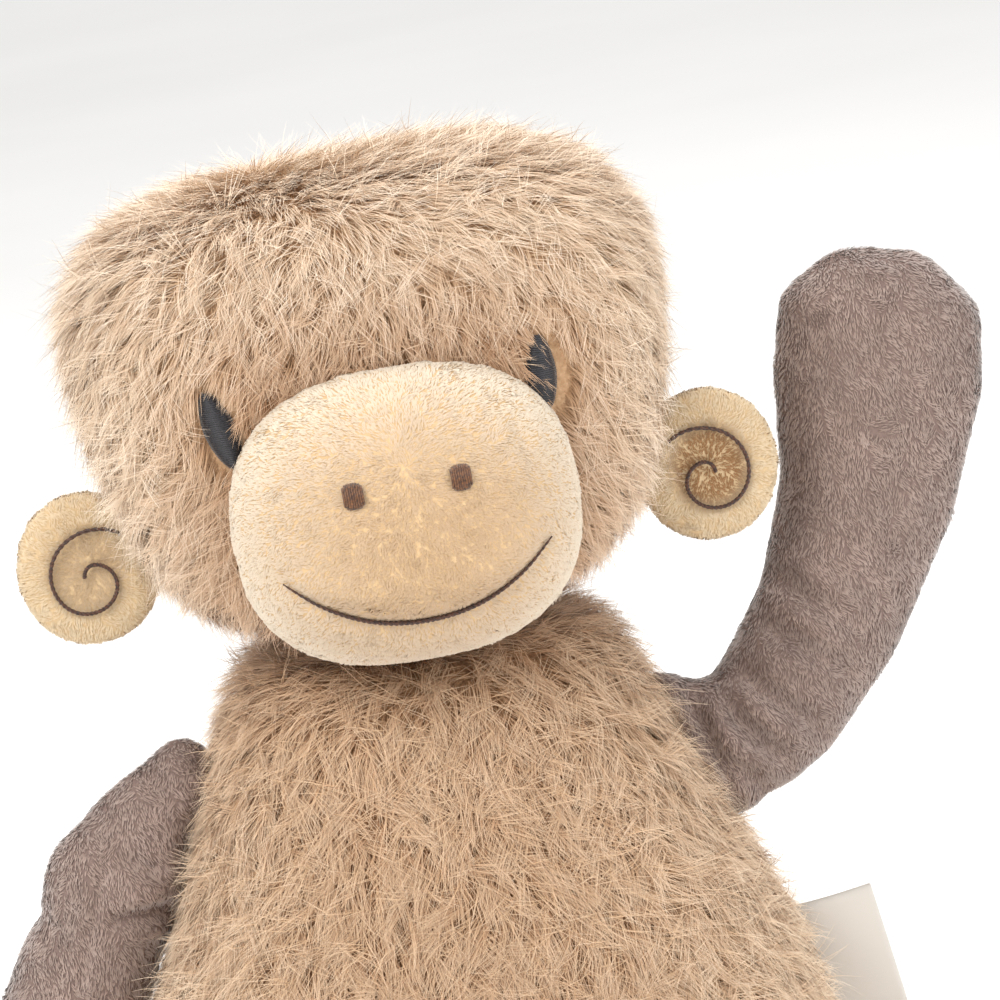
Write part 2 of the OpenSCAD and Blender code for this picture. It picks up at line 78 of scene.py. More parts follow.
def aim(azimuth, elevation):
    """The direction from the subject towards an eye at these angles; 0, 0 is straight in front."""
    a, e = math.radians(azimuth), math.radians(elevation)
    return Vector((math.sin(a) * math.cos(e), -math.cos(a) * math.cos(e), math.sin(e)))


camera_data = bpy.data.cameras.new("camera")
camera = bpy.data.objects.new("camera", camera_data)
bpy.context.scene.collection.objects.link(camera)
towards = aim(CAMERA_AZIMUTH, CAMERA_ELEVATION)
camera.location = LOOK_AT + towards * CAMERA_DISTANCE
turn = towards.to_track_quat("Z", "Y")
camera.rotation_mode = "QUATERNION"
camera.rotation_quaternion = turn @ Quaternion((0, 0, 1), math.radians(CAMERA_ROLL))
camera_data.sensor_width = SENSOR
camera_data.lens = SENSOR * CAMERA_DISTANCE / VIEW_WIDTH
camera_data.clip_start, camera_data.clip_end = 0.01, 20
bpy.context.scene.camera = camera
print("lens", round(camera_data.lens, 1), "mm")

# %% [markdown]
# Nodes are easier to read as small functions. A mixer, a noise and a bump are all that the
# cloths and threads need, so each material below is a few lines on top of these.
# %% Material helpers


def new_material(name, roughness=0.9):
    material = bpy.data.materials.new(name)
    material.use_nodes = True
    shader = material.node_tree.nodes["Principled BSDF"]
    shader.inputs["Roughness"].default_value = roughness
    shader.inputs["Specular IOR Level"].default_value = 0.2
    return material, material.node_tree, shader


def noise_of(tree, scale, detail=3.0):
    place = tree.nodes.new("ShaderNodeTexCoord")
    noise = tree.nodes.new("ShaderNodeTexNoise")
    noise.inputs["Scale"].default_value = scale
    noise.inputs["Detail"].default_value = detail
    tree.links.new(place.outputs["Object"], noise.inputs["Vector"])
    return noise.outputs["Fac"]


def ramp_of(tree, value, stops):
    ramp = tree.nodes.new("ShaderNodeValToRGB")
    while len(ramp.color_ramp.elements) < len(stops):
        ramp.color_ramp.elements.new(0.5)
    for element, (at, colour) in zip(ramp.color_ramp.elements, stops):
        element.position = at
        element.color = (*colour, 1)
    tree.links.new(value, ramp.inputs["Fac"])
    return ramp.outputs["Color"]


def bump_to(tree, shader, height, strength, distance):
    bump = tree.nodes.new("ShaderNodeBump")
    bump.inputs["Strength"].default_value = strength
    bump.inputs["Distance"].default_value = distance
    tree.links.new(height, bump.inputs["Height"])
    tree.links.new(bump.outputs["Normal"], shader.inputs["Normal"])


def srgb(text):
    """A linear colour from a web colour."""
    def linear(v):
        return v / 12.92 if v <= 0.04045 else ((v + 0.055) / 1.055) ** 2.4
    return tuple(linear(int(text[i:i + 2], 16) / 255) for i in (1, 3, 5))


print("web grey #808080 is", round(srgb("#808080")[0], 3), "in linear light")

# %% [markdown]
# Pile cloth is darker at the root, where hairs shade each other and the backing shows, and
# pale at the tip. Each hair carries two numbers, how far along it a point is and how light
# its lock is, and the material turns them into colour. One texture for a whole cloth would
# look printed; numbers on the hairs keep every lock its own tone.
# %% Pile materials
WHITE = (1.0, 1.0, 1.0)


def multiplied(tree, one, other):
    mix = tree.nodes.new("ShaderNodeMix")
    mix.data_type, mix.blend_type = "RGBA", "MULTIPLY"
    mix.inputs["Factor"].default_value = 1.0
    tree.links.new(one, mix.inputs[6])
    tree.links.new(other, mix.inputs[7])
    return mix.outputs[2]


def pile_material(name, root, middle, tip, shade, zone, sheen=0.25):
    """Colours from root to tip, the tone of the darkest lock, and the tint colour: warmer fur on the
    head and body, painted shade on the muzzle and the shaded ear, painted light on the limbs.
    """
    material, tree, shader = new_material(name, 0.75)
    shader.inputs["Sheen Weight"].default_value = sheen
    shader.inputs["Sheen Roughness"].default_value = 0.5
    along = tree.nodes.new("ShaderNodeAttribute")
    along.attribute_name = "pile"
    parts = tree.nodes.new("ShaderNodeSeparateColor")
    tree.links.new(along.outputs["Color"], parts.inputs["Color"])
    hue = ramp_of(tree, parts.outputs["Red"], [(0.0, root), (0.38, middle), (0.95, tip)])
    lock = ramp_of(tree, parts.outputs["Green"], [(0.0, shade), (1.0, WHITE)])
    area = ramp_of(tree, parts.outputs["Blue"], [(0.0, WHITE), (1.0, zone)])
    whole = multiplied(tree, multiplied(tree, hue, lock), area)
    tree.links.new(whole, shader.inputs["Base Color"])
    return material


def backing_material(name, low, high):
    material, tree, shader = new_material(name, 0.95)
    grain = noise_of(tree, 900)
    tone = ramp_of(tree, grain, [(0.3, low), (0.7, high)])
    tree.links.new(tone, shader.inputs["Base Color"])
    bump_to(tree, shader, grain, 0.6, 0.0006)
    return material


HEAD_PILE = pile_material("head_pile", srgb("#b8946f"), srgb("#d9bb9a"), srgb("#f4e2ca"),
                          (0.86, 0.79, 0.73), (0.72, 0.57, 0.47))
BODY_PILE = pile_material("body_pile", srgb("#a17c58"), srgb("#ddbb98"), srgb("#f8e6cc"),
                          (0.82, 0.74, 0.67), (0.68, 0.55, 0.45))
# The last colour of the cream and tan piles is painted shade; that of the taupe pile is painted
# light, with brushed patches.
CREAM_PILE = pile_material("cream_pile", srgb("#dccab1"), srgb("#e3d4bf"), srgb("#e9dcc9"),
                           (0.97, 0.96, 0.93), (0.66, 0.48, 0.31), sheen=0.12)
TAN_PILE = pile_material("tan_pile", srgb("#cdb491"), srgb("#d8c2a0"), srgb("#e1ceb1"),
                         (0.95, 0.92, 0.87), (0.50, 0.34, 0.23), sheen=0.15)
TAUPE_PILE = pile_material("taupe_pile", srgb("#77655d"), srgb("#8f7a70"), srgb("#a8958b"),
                           (0.84, 0.81, 0.79), (1.35, 1.35, 1.36), sheen=0.8)
HEAD_WISP = pile_material("head_wisp", srgb("#bf9c77"), srgb("#e8cfb2"), srgb("#fff3e2"),
                          (0.88, 0.82, 0.77), (0.76, 0.63, 0.53))
BODY_WISP = pile_material("body_wisp", srgb("#b08b66"), srgb("#e4c6a3"), srgb("#fdebd3"),
                          (0.88, 0.81, 0.74), (0.74, 0.61, 0.51))
HEAD_BACKING = backing_material("head_backing", srgb("#b08b67"), srgb("#caa683"))
BODY_BACKING = backing_material("body_backing", srgb("#9a7555"), srgb("#b58f6c"))
CREAM_BACKING = backing_material("cream_backing", srgb("#cdac82"), srgb("#d7ba92"))
TAN_BACKING = backing_material("tan_backing", srgb("#c8ab84"), srgb("#d4ba94"))
TAUPE_BACKING = backing_material("taupe_backing", srgb("#75635c"), srgb("#857169"))
FIBRE = backing_material("fibre_fill", srgb("#e4e2dc"), srgb("#f6f5f2"))
POUCH = backing_material("pouch_cloth", srgb("#cfc8b8"), srgb("#e4dfd2"))
print(len(bpy.data.materials), "materials so far")

# %% [markdown]
# Sewn skins, hair and threads all start as plain lists of points and faces. These helpers
# make a mesh from them, copy the frame's panels into one, and read and move its points.
# %% Mesh helpers


def mesh_object(name, vertices, faces):
    mesh = bpy.data.meshes.new(name)
    mesh.from_pydata(vertices, [], faces)
    mesh.update()
    obj = bpy.data.objects.new(name, mesh)
    bpy.context.scene.collection.objects.link(obj)
    return obj


def cad_copy(name, nodes, lumps=()):
    """One mesh of copies of these nodes, and lumps of filling; the nodes are untouched."""
    vertices, faces = [], []
    for points, polygons in lumps:
        start = len(vertices)
        vertices += points
        faces += [[start + i for i in p] for p in polygons]
    for node in nodes:
        data = frame["nodes"][node].data
        start = len(vertices)
        vertices += [v.co.copy() for v in data.vertices]
        faces += [[start + i for i in p.vertices] for p in data.polygons]
    return mesh_object(name, vertices, faces)


def apply_all(obj):
    bpy.context.view_layer.update()
    evaluated = obj.evaluated_get(bpy.context.evaluated_depsgraph_get())
    data = bpy.data.meshes.new_from_object(evaluated)
    obj.modifiers.clear()
    old = obj.data
    obj.data = data
    bpy.data.meshes.remove(old)


def keep_outer_island(obj):
    bm = bmesh.new()
    bm.from_mesh(obj.data)
    seen, islands = set(), []
    for start in bm.verts:
        if start in seen:
            continue
        stack, island = [start], []
        seen.add(start)
        while stack:
            v = stack.pop()
            island.append(v)
            for e in v.link_edges:
                w = e.other_vert(v)
                if w not in seen:
                    seen.add(w)
                    stack.append(w)
        islands.append(island)
    def spread(island):
        co = np.array([v.co for v in island])
        return float(np.prod(co.max(0) - co.min(0)))
    outer = max(islands, key=spread)
    bmesh.ops.delete(bm, geom=[v for i in islands if i is not outer for v in i], context="VERTS")
    bm.to_mesh(obj.data)
    bm.free()


def points_of(obj):
    co = np.empty(len(obj.data.vertices) * 3)
    obj.data.vertices.foreach_get("co", co)
    return co.reshape(-1, 3)


def set_points(obj, co):
    obj.data.vertices.foreach_set("co", np.asarray(co, float).ravel())
    obj.data.update()


def normals_of(obj):
    n = np.empty(len(obj.data.vertices) * 3)
    obj.data.vertices.foreach_get("normal", n)
    return n.reshape(-1, 3)


def smooth_skin(obj, times):
    modifier = obj.modifiers.new("ease", "SMOOTH")
    modifier.iterations, modifier.factor = times, 0.5
    apply_all(obj)


print("mesh helpers ready,", len(frame["nodes"]), "nodes to copy from")

# %% [markdown]
# A stuffed part is a closed cloth skin that the filling pushes outward. The frame's panels
# give its true size, so the skin starts as one closed surface around them, drawn in a
# little, and a short cloth simulation with air pressure swells it back until the cloth is
# taut. Swelling by hand would miss the hollows beside a seam that cloth makes by itself.
# %% Stuffed skins
CLOTH_FRAMES, AIR_PRESSURE = 20, 4.0


def puff(obj, cap, draw_in):
    """Swells a closed skin with air pressure; no point ends more than cap from its start."""
    start = points_of(obj)
    set_points(obj, start - normals_of(obj) * draw_in)
    scene = bpy.context.scene
    cloth = obj.modifiers.new("cloth", "CLOTH")
    cloth.settings.use_pressure = True
    cloth.settings.uniform_pressure_force = AIR_PRESSURE
    cloth.settings.effector_weights.gravity = 0
    cloth.settings.tension_stiffness = 12
    cloth.settings.bending_stiffness = 0.4
    cloth.point_cache.frame_start, cloth.point_cache.frame_end = 1, CLOTH_FRAMES
    for f in range(1, CLOTH_FRAMES + 1):
        scene.frame_set(f)
    apply_all(obj)
    moved = points_of(obj) - start
    length = np.linalg.norm(moved, axis=1, keepdims=True)
    set_points(obj, start + moved * np.minimum(1, cap / np.maximum(length, 1e-9)))
    scene.frame_set(1)


def refit(obj, size):
    """Moves the skin along its normals by the mean amount that it lacks of this size."""
    co = points_of(obj)
    lacks = float(np.mean(size - np.ptp(co, axis=0))) / 2
    set_points(obj, co + normals_of(obj) * lacks)


def stuffed_skin(name, nodes, voxel, cap=2.0 * MM, draw_in=1.0 * MM, ease=4, core=(), proud=0.0,
                 lumps=()):
    """One skin round these nodes; core and lumps fill it, proud is how far it stands past them."""
    obj = cad_copy(name, [*nodes, *core], lumps)
    cad_size = np.ptp(points_of(obj), axis=0)
    remesh = obj.modifiers.new("remesh", "REMESH")
    remesh.mode, remesh.voxel_size = "VOXEL", voxel
    apply_all(obj)
    keep_outer_island(obj)
    smooth_skin(obj, ease)
    refit(obj, cad_size)
    puff(obj, cap, draw_in)
    refit(obj, cad_size + proud)
    finer = obj.modifiers.new("finer", "SUBSURF")
    finer.levels = finer.render_levels = 1
    apply_all(obj)
    obj.data.polygons.foreach_set("use_smooth", [True] * len(obj.data.polygons))
    low, high = points_of(obj).min(0), points_of(obj).max(0)
    print(name, len(obj.data.polygons), "faces", (low * 1000).round(1), (high * 1000).round(1))
    return obj


# %% [markdown]
# The head is a box with rounded edges, and the body a cone on a flat seat. Each is sewn from
# five or six panels, which one skin covers, since long pile hides the seams between them.
# The body's skin is cut flat at the floor, as the weight of the beans would press it.
# %% Head and body skins
HEAD_NODES = ["face_panel", "crown_panel", "cheek_panel_left", "cheek_panel_right",
              "head_back_panel", "chin_panel"]
BODY_NODES = ["body_front_panel", "body_back_panel_left", "body_back_panel_right",
              "seat_panel", "shoulder_panel"]
head_skin = stuffed_skin("head_skin", HEAD_NODES, 4 * MM, cap=2 * MM)
body_skin = stuffed_skin("body_skin", BODY_NODES, 5 * MM, cap=2 * MM)
FLOOR_Z = 0.0
co = points_of(body_skin)
co[:, 2] = np.maximum(co[:, 2], FLOOR_Z)
set_points(body_skin, co)

# %% [markdown]
# The muzzle is a separate stuffed cushion on the face. Its outline is a rounded box, so the
# corners of the plain oval are moved outward. A stiff liner under the cloth could make the
# same shape, but moving the points keeps one soft skin.
# %% Muzzle skin
muzzle_skin = stuffed_skin("muzzle_skin", ["muzzle_cover"], 2.5 * MM, cap=1.5 * MM,
                           draw_in=0.5 * MM, core=["muzzle_stuffing"], proud=1.6 * MM)
MUZZLE_BOXY = 2.5        # 2 is an oval, and higher is nearer a box
co = points_of(muzzle_skin)
middle, half = (co.max(0) + co.min(0)) / 2, np.ptp(co, axis=0) / 2
rel = np.abs((co - middle) / half)[:, [0, 2]] + 1e-6
boxy = np.hypot(rel[:, 0], rel[:, 1]) / (rel ** MUZZLE_BOXY).sum(1) ** (1 / MUZZLE_BOXY)
co[:, [0, 2]] = middle[[0, 2]] + (co[:, [0, 2]] - middle[[0, 2]]) * boxy[:, None]
set_points(muzzle_skin, co)

# %% [markdown]
# The beans settle unevenly, so the seat spreads further on one side, under the hanging arm.
# Points low on that side move outward, and the move fades upward and towards the middle.
# %% Seat
HIP_SPREAD = 4.0 * MM
HIP_TOP, HIP_FADE, HIP_REACH = 0.085, 0.05, 0.07
co = points_of(body_skin)
low_down = np.clip((HIP_TOP - co[:, 2]) / HIP_FADE, 0, 1)
co[:, 0] -= HIP_SPREAD * low_down * np.clip(-co[:, 0] / HIP_REACH, 0, 1)
set_points(body_skin, co)
print("seat spread", round(HIP_SPREAD / MM, 1), "mm")

# %% [markdown]
# The limbs, ears and tail are two panels sewn round their edges and stuffed. An arm is one
# sleeve over the elbow, so it is one skin over both of its parts.
# %% Limb, ear and tail skins


def ball(centre, half, turn):
    """Vertices and faces of a lump of filling that closes the hollow in a bend."""
    bm = bmesh.new()
    bmesh.ops.create_icosphere(bm, subdivisions=3, radius=1)
    c, sn = math.cos(math.radians(turn)), math.sin(math.radians(turn))
    points = []
    for v in bm.verts:
        x, y, z = v.co.x * half[0], v.co.y * half[1], v.co.z * half[2]
        points.append(Vector((centre[0] + c * x - sn * z, centre[1] + y,
                              centre[2] + sn * x + c * z)) * MM)
    faces = [[v.index for v in f.verts] for f in bm.faces]
    bm.free()
    return points, faces


def limb_nodes(part, side, kinds=("front", "back")):
    return [f"{part}_{kind}_{side}" for kind in kinds]


# The bend of each arm: its middle, the half sizes of its filling and its turn in degrees
BEND = {"left": ((-85.5, 5.5, 104), (17.5, 14, 21), -12),
        "right": ((69.5, 5.5, 114), (17, 12.5, 11.5), 99)}
# The filling that rounds the hanging arm's shoulder
SHOULDER = ((-64, 4, 129), (9, 9.5, 12.5), -20)
arms, legs, ears = {}, {}, {}
for side in ("left", "right"):
    arms[side] = stuffed_skin(
        f"arm_skin_{side}", limb_nodes("upper_arm", side) + limb_nodes("forearm", side),
        2.5 * MM, cap=2 * MM, draw_in=0.6 * MM, ease=6,
        lumps=[ball(*BEND[side])] + [ball(*SHOULDER)] * (side == "left"))
    legs[side] = stuffed_skin(f"leg_skin_{side}", limb_nodes("leg", side, ("top", "under")),
                              3 * MM, cap=1.5 * MM, draw_in=0.6 * MM)
    ears[side] = stuffed_skin(f"ear_skin_{side}", limb_nodes("ear", side),
                              1.4 * MM, cap=0.8 * MM, draw_in=0.2 * MM, ease=1)
# The ears are not sewn on at quite the same height
EAR_SHIFT = {"left": (-1.4 * MM, 0, 1.6 * MM), "right": (1.2 * MM, 0, 0)}
for side, skin in ears.items():
    set_points(skin, points_of(skin) + np.array(EAR_SHIFT[side]))
tail_skin = stuffed_skin("tail_skin", ["tail_top", "tail_under"], 2 * MM, cap=1 * MM,
                         draw_in=0.3 * MM)

# %% [markdown]
# Where an arm bends, its cloth crowds on the inside and breaks into folds that fan out from
# the seam. They are pressed into the skin along short lines, each a groove with a soft ridge
# beside it. Folds only in the shading would leave the outline too smooth.
# %% Folds


def fold(obj, start, end, depth, width):
    """Presses a soft fold into the front of a skin, along a line in X and Z."""
    co, n = points_of(obj), normals_of(obj)
    a, b = np.array(start) * MM, np.array(end) * MM
    flat_co = co[:, [0, 2]]
    along = np.clip(((flat_co - a) @ (b - a)) / ((b - a) @ (b - a)), 0, 1)
    away = np.linalg.norm(flat_co - (a + along[:, None] * (b - a)), axis=1)
    facing = np.clip(-n[:, 1], 0, 1)
    fade = np.sin(np.pi * np.clip(0.22 + along * 0.78, 0, 1)) ** 0.7
    groove = -np.exp(-(away / width) ** 2) + 0.42 * np.exp(-((away - 2.1 * width) / width) ** 2)
    set_points(obj, co + n * (groove * fade * facing * depth)[:, None])


for start, end, depth in [((86, 158), (108, 140), 2.2), ((84, 145), (106, 128), 2.4),
                          ((78, 133), (97, 114), 2.6), ((73, 124), (86, 108), 2.4),
                          ((70, 114), (79, 102), 2.0)]:
    fold(arms["right"], start, end, depth * MM, 2.3 * MM)
fold(arms["right"], (63, 131), (71, 98), 3.0 * MM, 2.2 * MM)
fold(arms["right"], (124, 229), (133, 224), 1.0 * MM, 1.8 * MM)
fold(arms["left"], (-72, 101), (-88, 103), 3.2 * MM, 2.2 * MM)
fold(arms["left"], (-74, 113), (-82, 118), 1.6 * MM, 2.0 * MM)
fold(arms["left"], (-86, 114), (-99, 80), 0.9 * MM, 1.4 * MM)
for start, end in [((-27, 216), (-31, 209)), ((27, 216), (30, 208)), ((3, 168), (5, 163))]:
    fold(muzzle_skin, start, end, 0.9 * MM, 1.6 * MM)

print("13 folds pressed")

# %% [markdown]
# The stitched mouth pulls the muzzle's cloth in along its line, and the cloth beside it
# swells a little. The line is a shallow curve that rises faster towards its ends.
# %% Mouth groove
mouth_low, mouth_high = (np.array(v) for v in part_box("mouth_stitching"))
mouth_mid_x, mouth_reach = (mouth_low[0] + mouth_high[0]) / 2, (mouth_high[0] - mouth_low[0]) / 2
MOUTH_CURVE, THREAD_R = 2.1, 0.8 * MM
mouth_rise = mouth_high[2] - mouth_low[2] - 2 * THREAD_R


def mouth_level(x):
    bend = np.abs((x - mouth_mid_x) / mouth_reach) ** MOUTH_CURVE
    return mouth_low[2] + THREAD_R + mouth_rise * bend


co = points_of(muzzle_skin)
inside = np.clip((1.05 - np.abs((co[:, 0] - mouth_mid_x) / mouth_reach)) * 6, 0, 1)
near_x = np.clip(co[:, 0], mouth_mid_x - mouth_reach, mouth_mid_x + mouth_reach)
off = np.abs(co[:, 2] - mouth_level(near_x))
sink = np.exp(-(off / (2.6 * MM)) ** 2) - 0.35 * np.exp(-((off - 6.5 * MM) / (3.2 * MM)) ** 2)
MOUTH_SINK = 1.9 * MM
co[:, 1] += MOUTH_SINK * sink * inside * (co[:, 1] < middle[1])
set_points(muzzle_skin, co)
print("mouth", round(2 * mouth_reach / MM, 1), "mm wide, rises", round(mouth_rise / MM, 1), "mm")

# %% [markdown]
# Hair on a toy is woven or knitted into its backing in locks. Each hair here is a thin
# ribbon with a bend, rooted on the skin, and the hairs of one lock lean towards one tip.
# Real mesh hair can be exported and lit from any side. Each hair takes most of its shading
# from the skin below it, so the coat looks soft and not like straw.
# %% Hair roots


def scatter(obj, count, rng, keep=None):
    """Random points over a skin, even by area: their place and the skin's normal there."""
    mesh = obj.data
    mesh.calc_loop_triangles()
    tri = np.empty(len(mesh.loop_triangles) * 3, np.int32)
    mesh.loop_triangles.foreach_get("vertices", tri)
    tri = tri.reshape(-1, 3)
    co, normal = points_of(obj), normals_of(obj)
    a, b, c = co[tri[:, 0]], co[tri[:, 1]], co[tri[:, 2]]
    area = np.linalg.norm(np.cross(b - a, c - a), axis=1) / 2
    if keep is not None:
        area = area * keep((a + b + c) / 3, normal[tri].mean(1))
    pick = rng.choice(len(tri), count, p=area / area.sum())
    u, v = rng.random(count), rng.random(count)
    over = u + v > 1
    u[over], v[over] = 1 - u[over], 1 - v[over]
    w = 1 - u - v
    place = a[pick] * w[:, None] + b[pick] * u[:, None] + c[pick] * v[:, None]
    n = (normal[tri[pick, 0]] * w[:, None] + normal[tri[pick, 1]] * u[:, None]
         + normal[tri[pick, 2]] * v[:, None])
    return place, unit(n), float(area.sum())


def unit(v):
    return v / np.maximum(np.linalg.norm(v, axis=-1, keepdims=True), 1e-9)


def nearest_lock(place, centres):
    """The nearest lock of each root, found in one sweep of a tree."""
    tree = KDTree(len(centres))
    for i, c in enumerate(centres):
        tree.insert(c, i)
    tree.balance()
    return np.array([tree.find(p)[1] for p in place])


print("root and lock helpers ready")

# %% [markdown]
# A hair is a strip of flat quads that narrows towards its tip. Thousands of strips share one
# mesh, since one object for each hair would be far too slow to move and to export.
# %% Hair ribbons
ROOT_DEPTH = 0.3 * MM        # how far a root goes below the skin
FLOOR_GAP = 0.0003           # how far above the floor a tip is stopped


def ribbon_mesh(name, left, right):
    """One mesh of strips between these left and right edges, each of shape rows, count, 3."""
    rows, count = left.shape[:2]
    vertices = np.stack([left, right], axis=2).transpose(1, 0, 2, 3).reshape(-1, 3)
    base = (np.arange(count) * rows * 2)[:, None, None]
    k = np.arange(rows - 1)[None, :, None] * 2
    quad = (base + k + np.array([0, 1, 3, 2])[None, None, :]).reshape(-1, 4)
    mesh = bpy.data.meshes.new(name)
    mesh.vertices.add(len(vertices))
    mesh.vertices.foreach_set("co", vertices.ravel())
    mesh.loops.add(len(quad) * 4)
    mesh.loops.foreach_set("vertex_index", quad.ravel().astype(np.int32))
    mesh.polygons.add(len(quad))
    mesh.polygons.foreach_set("loop_start", np.arange(0, len(quad) * 4, 4, dtype=np.int32))
    mesh.polygons.foreach_set("use_smooth", np.ones(len(quad), bool))
    mesh.update(calc_edges=True)
    return mesh


def hairs(name, place, normal, rng, comb, length, density, lift=0.45, lock_gap=5 * MM, gather=0.6,
          curl=0.15, width=0.42 * MM, segments=4, wander=0.25, floor=None, tint=None, velvet=0.75):
    """Ribbon hairs, density of them to a square metre. comb(place, normal) gives the way that
    the pile lies, and length(place) its length; lift is how much it stands up, gather how far
    a lock closes at its tip, and velvet how far a hair is shaded like the skin under it."""
    count = len(place)
    lay = comb(place, normal)
    lay = unit(lay - normal * np.sum(lay * normal, axis=1, keepdims=True))
    size = length(place) * rng.uniform(0.75, 1.2, count)
    lock_count = max(8, int(count / (density * lock_gap ** 2)))
    lock_index = rng.choice(count, min(lock_count, count), replace=False)
    lock = nearest_lock(place, place[lock_index])
    lock_turn = rng.normal(0, wander * 1.6, (len(lock_index), 3))
    lock_tone = rng.uniform(0, 1, len(lock_index))
    lock_curl = rng.uniform(-1, 1, len(lock_index))
    way = unit(lay + lock_turn[lock] + rng.normal(0, wander * 0.4, (count, 3)))
    # A lock may rise from the skin but never dives into it, which would leave it bare
    rise = np.sum(way * normal, axis=1, keepdims=True)
    way = unit(way + normal * (np.abs(rise) * 0.4 - rise))
    start = unit(normal * (lift + 0.35) + way * (1 - lift))
    end = unit(way * 1.1 + normal * (lift - 0.35))
    side = unit(np.cross(way, normal))
    towards_lock = place[lock_index][lock] - place
    points = [place - normal * np.minimum(ROOT_DEPTH, 0.08 * size)[:, None]]
    for k in range(1, segments + 1):
        t = k / segments
        step = unit(start * (1 - t) + end * t)
        swing = side * (lock_curl[lock] * curl * 3.2 * math.sin(2.4 * t) * t)[:, None]
        points.append(points[-1] + unit(step + swing) * (size / segments)[:, None])
    points = np.array(points)
    own = rng.uniform(0.35, 1.25, count)[:, None] * gather
    for k in range(1, segments + 1):
        t = k / segments
        points[k] += towards_lock * own * t ** 1.4
    if floor is not None:
        points[..., 2] = np.maximum(points[..., 2], floor + FLOOR_GAP)
    tangent = unit(np.gradient(points, axis=0))
    twist = rng.normal(0, 0.8, count)
    across = unit(np.cross(tangent, normal[None]) + normal[None] * twist[None, :, None] * 0.5)
    t = np.linspace(0, 1, segments + 1)
    half = (width / 2 * (1 - 0.85 * t ** 1.8))[:, None] * rng.uniform(0.7, 1.2, count)[None]
    mesh = ribbon_mesh(name, points - across * half[..., None], points + across * half[..., None])
    tone = np.clip(lock_tone[lock] * 0.75 + rng.uniform(0, 0.25, count), 0, 1)
    colour = np.ones((count, segments + 1, 2, 4), np.float32)
    colour[..., 0] = t[None, :, None]
    colour[..., 1] = tone[:, None, None]
    colour[..., 2] = 0 if tint is None else tint(place)[:, None, None]
    layer = mesh.color_attributes.new("pile", "FLOAT_COLOR", "POINT")
    layer.data.foreach_set("color", colour.ravel())
    soft = unit(normal[None] * velvet + np.cross(across, tangent) * 0.35 + tangent * 0.1)
    soft = np.repeat(soft.transpose(1, 0, 2)[:, :, None], 2, axis=2).reshape(-1, 3)
    mesh.normals_split_custom_set_from_vertices(soft)
    obj = bpy.data.objects.new(name, mesh)
    bpy.context.scene.collection.objects.link(obj)
    print(name, count, "hairs,", count * segments * 2, "triangles")
    return obj


print("roots go", round(ROOT_DEPTH / MM, 1), "mm deep")

# %% [markdown]
# The head's pile is long. It falls from a parting over the crown, down the face and outward
# to the sides, and it is longest on the cheeks. The way it lies is a small formula of the
# place, which is easier to tune than combing by hand.
# %% Head pile
head_low, head_high = points_of(head_skin).min(0), points_of(head_skin).max(0)
head_mid, head_half = (head_low + head_high) / 2, (head_high - head_low) / 2


def head_comb(place, normal):
    rel = (place - head_mid) / head_half
    out = np.stack([np.sign(rel[:, 0]) * np.abs(rel[:, 0]) ** 0.7 * 0.9,
                    rel[:, 1] * 0.35, -np.ones(len(place)) * 0.9], axis=1)
    top = np.clip((rel[:, 2] - 0.55) / 0.4, 0, 1)[:, None]
    sideways = np.stack([rel[:, 0] * 1.1 + 0.35, rel[:, 1] * 0.9 - 0.25,
                         0.1 * np.ones(len(place))], axis=1)
    drift = np.stack([np.sin(place[:, 2] * 95 + place[:, 0] * 40), 0 * place[:, 0],
                      np.sin(place[:, 0] * 110 + 1)], axis=1) * 0.22
    return unit(out * (1 - top) + sideways * top + drift)


def head_length(place):
    rel = (place - head_mid) / head_half
    cheek = np.clip(-rel[:, 2] + 0.2, 0, 1) * np.clip(np.abs(rel[:, 0]) - 0.2, 0, 1)
    side = np.clip(np.abs(rel[:, 0]) - 0.6, 0, 1)
    left = np.clip(-rel[:, 0] - 0.6, 0, 1)
    crown = np.clip(rel[:, 2] - 0.5, 0, 0.5)
    return (9.5 + 9 * cheek + 6 * side + 7 * left + 4.5 * crown) * MM


muzzle_low, muzzle_high = points_of(muzzle_skin).min(0), points_of(muzzle_skin).max(0)
muzzle_mid, muzzle_half = (muzzle_low + muzzle_high) / 2, (muzzle_high - muzzle_low) / 2
eye_boxes = [tuple(np.array(v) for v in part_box(f"eye_{s}")) for s in ("left", "right")]


def head_keep(place, normal, margin=0.2 * MM):
    rel = (place - muzzle_mid) / muzzle_half
    under_muzzle = (rel[:, 0] ** 2 + rel[:, 2] ** 2 < 0.72) & (place[:, 1] < head_mid[1])
    keep = np.where(under_muzzle, 0.0, 1.0)
    for low, high in eye_boxes:
        mid, half = (low + high) / 2, (high - low) / 2
        # Hairs above an eye fall over it, so the bare patch starts a little higher
        near = (((place[:, 0] - mid[0]) / (half[0] + margin)) ** 2
                + ((place[:, 2] - mid[2] - 3.6 * MM) / (half[2] + 3.0 * MM)) ** 2 < 1)
        keep = np.where(near & (place[:, 1] < head_mid[1]), 0.0, keep)
    return keep


def dress(obj, material, body, nodes):
    obj.data.materials.clear()
    obj.data.materials.append(material)
    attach(obj, body)
    if nodes:
        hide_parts(*nodes)
    return obj


MOST_TRIANGLES = 190000        # in one piece of a coat
MM2 = 1e6                       # square millimetres in a square metre


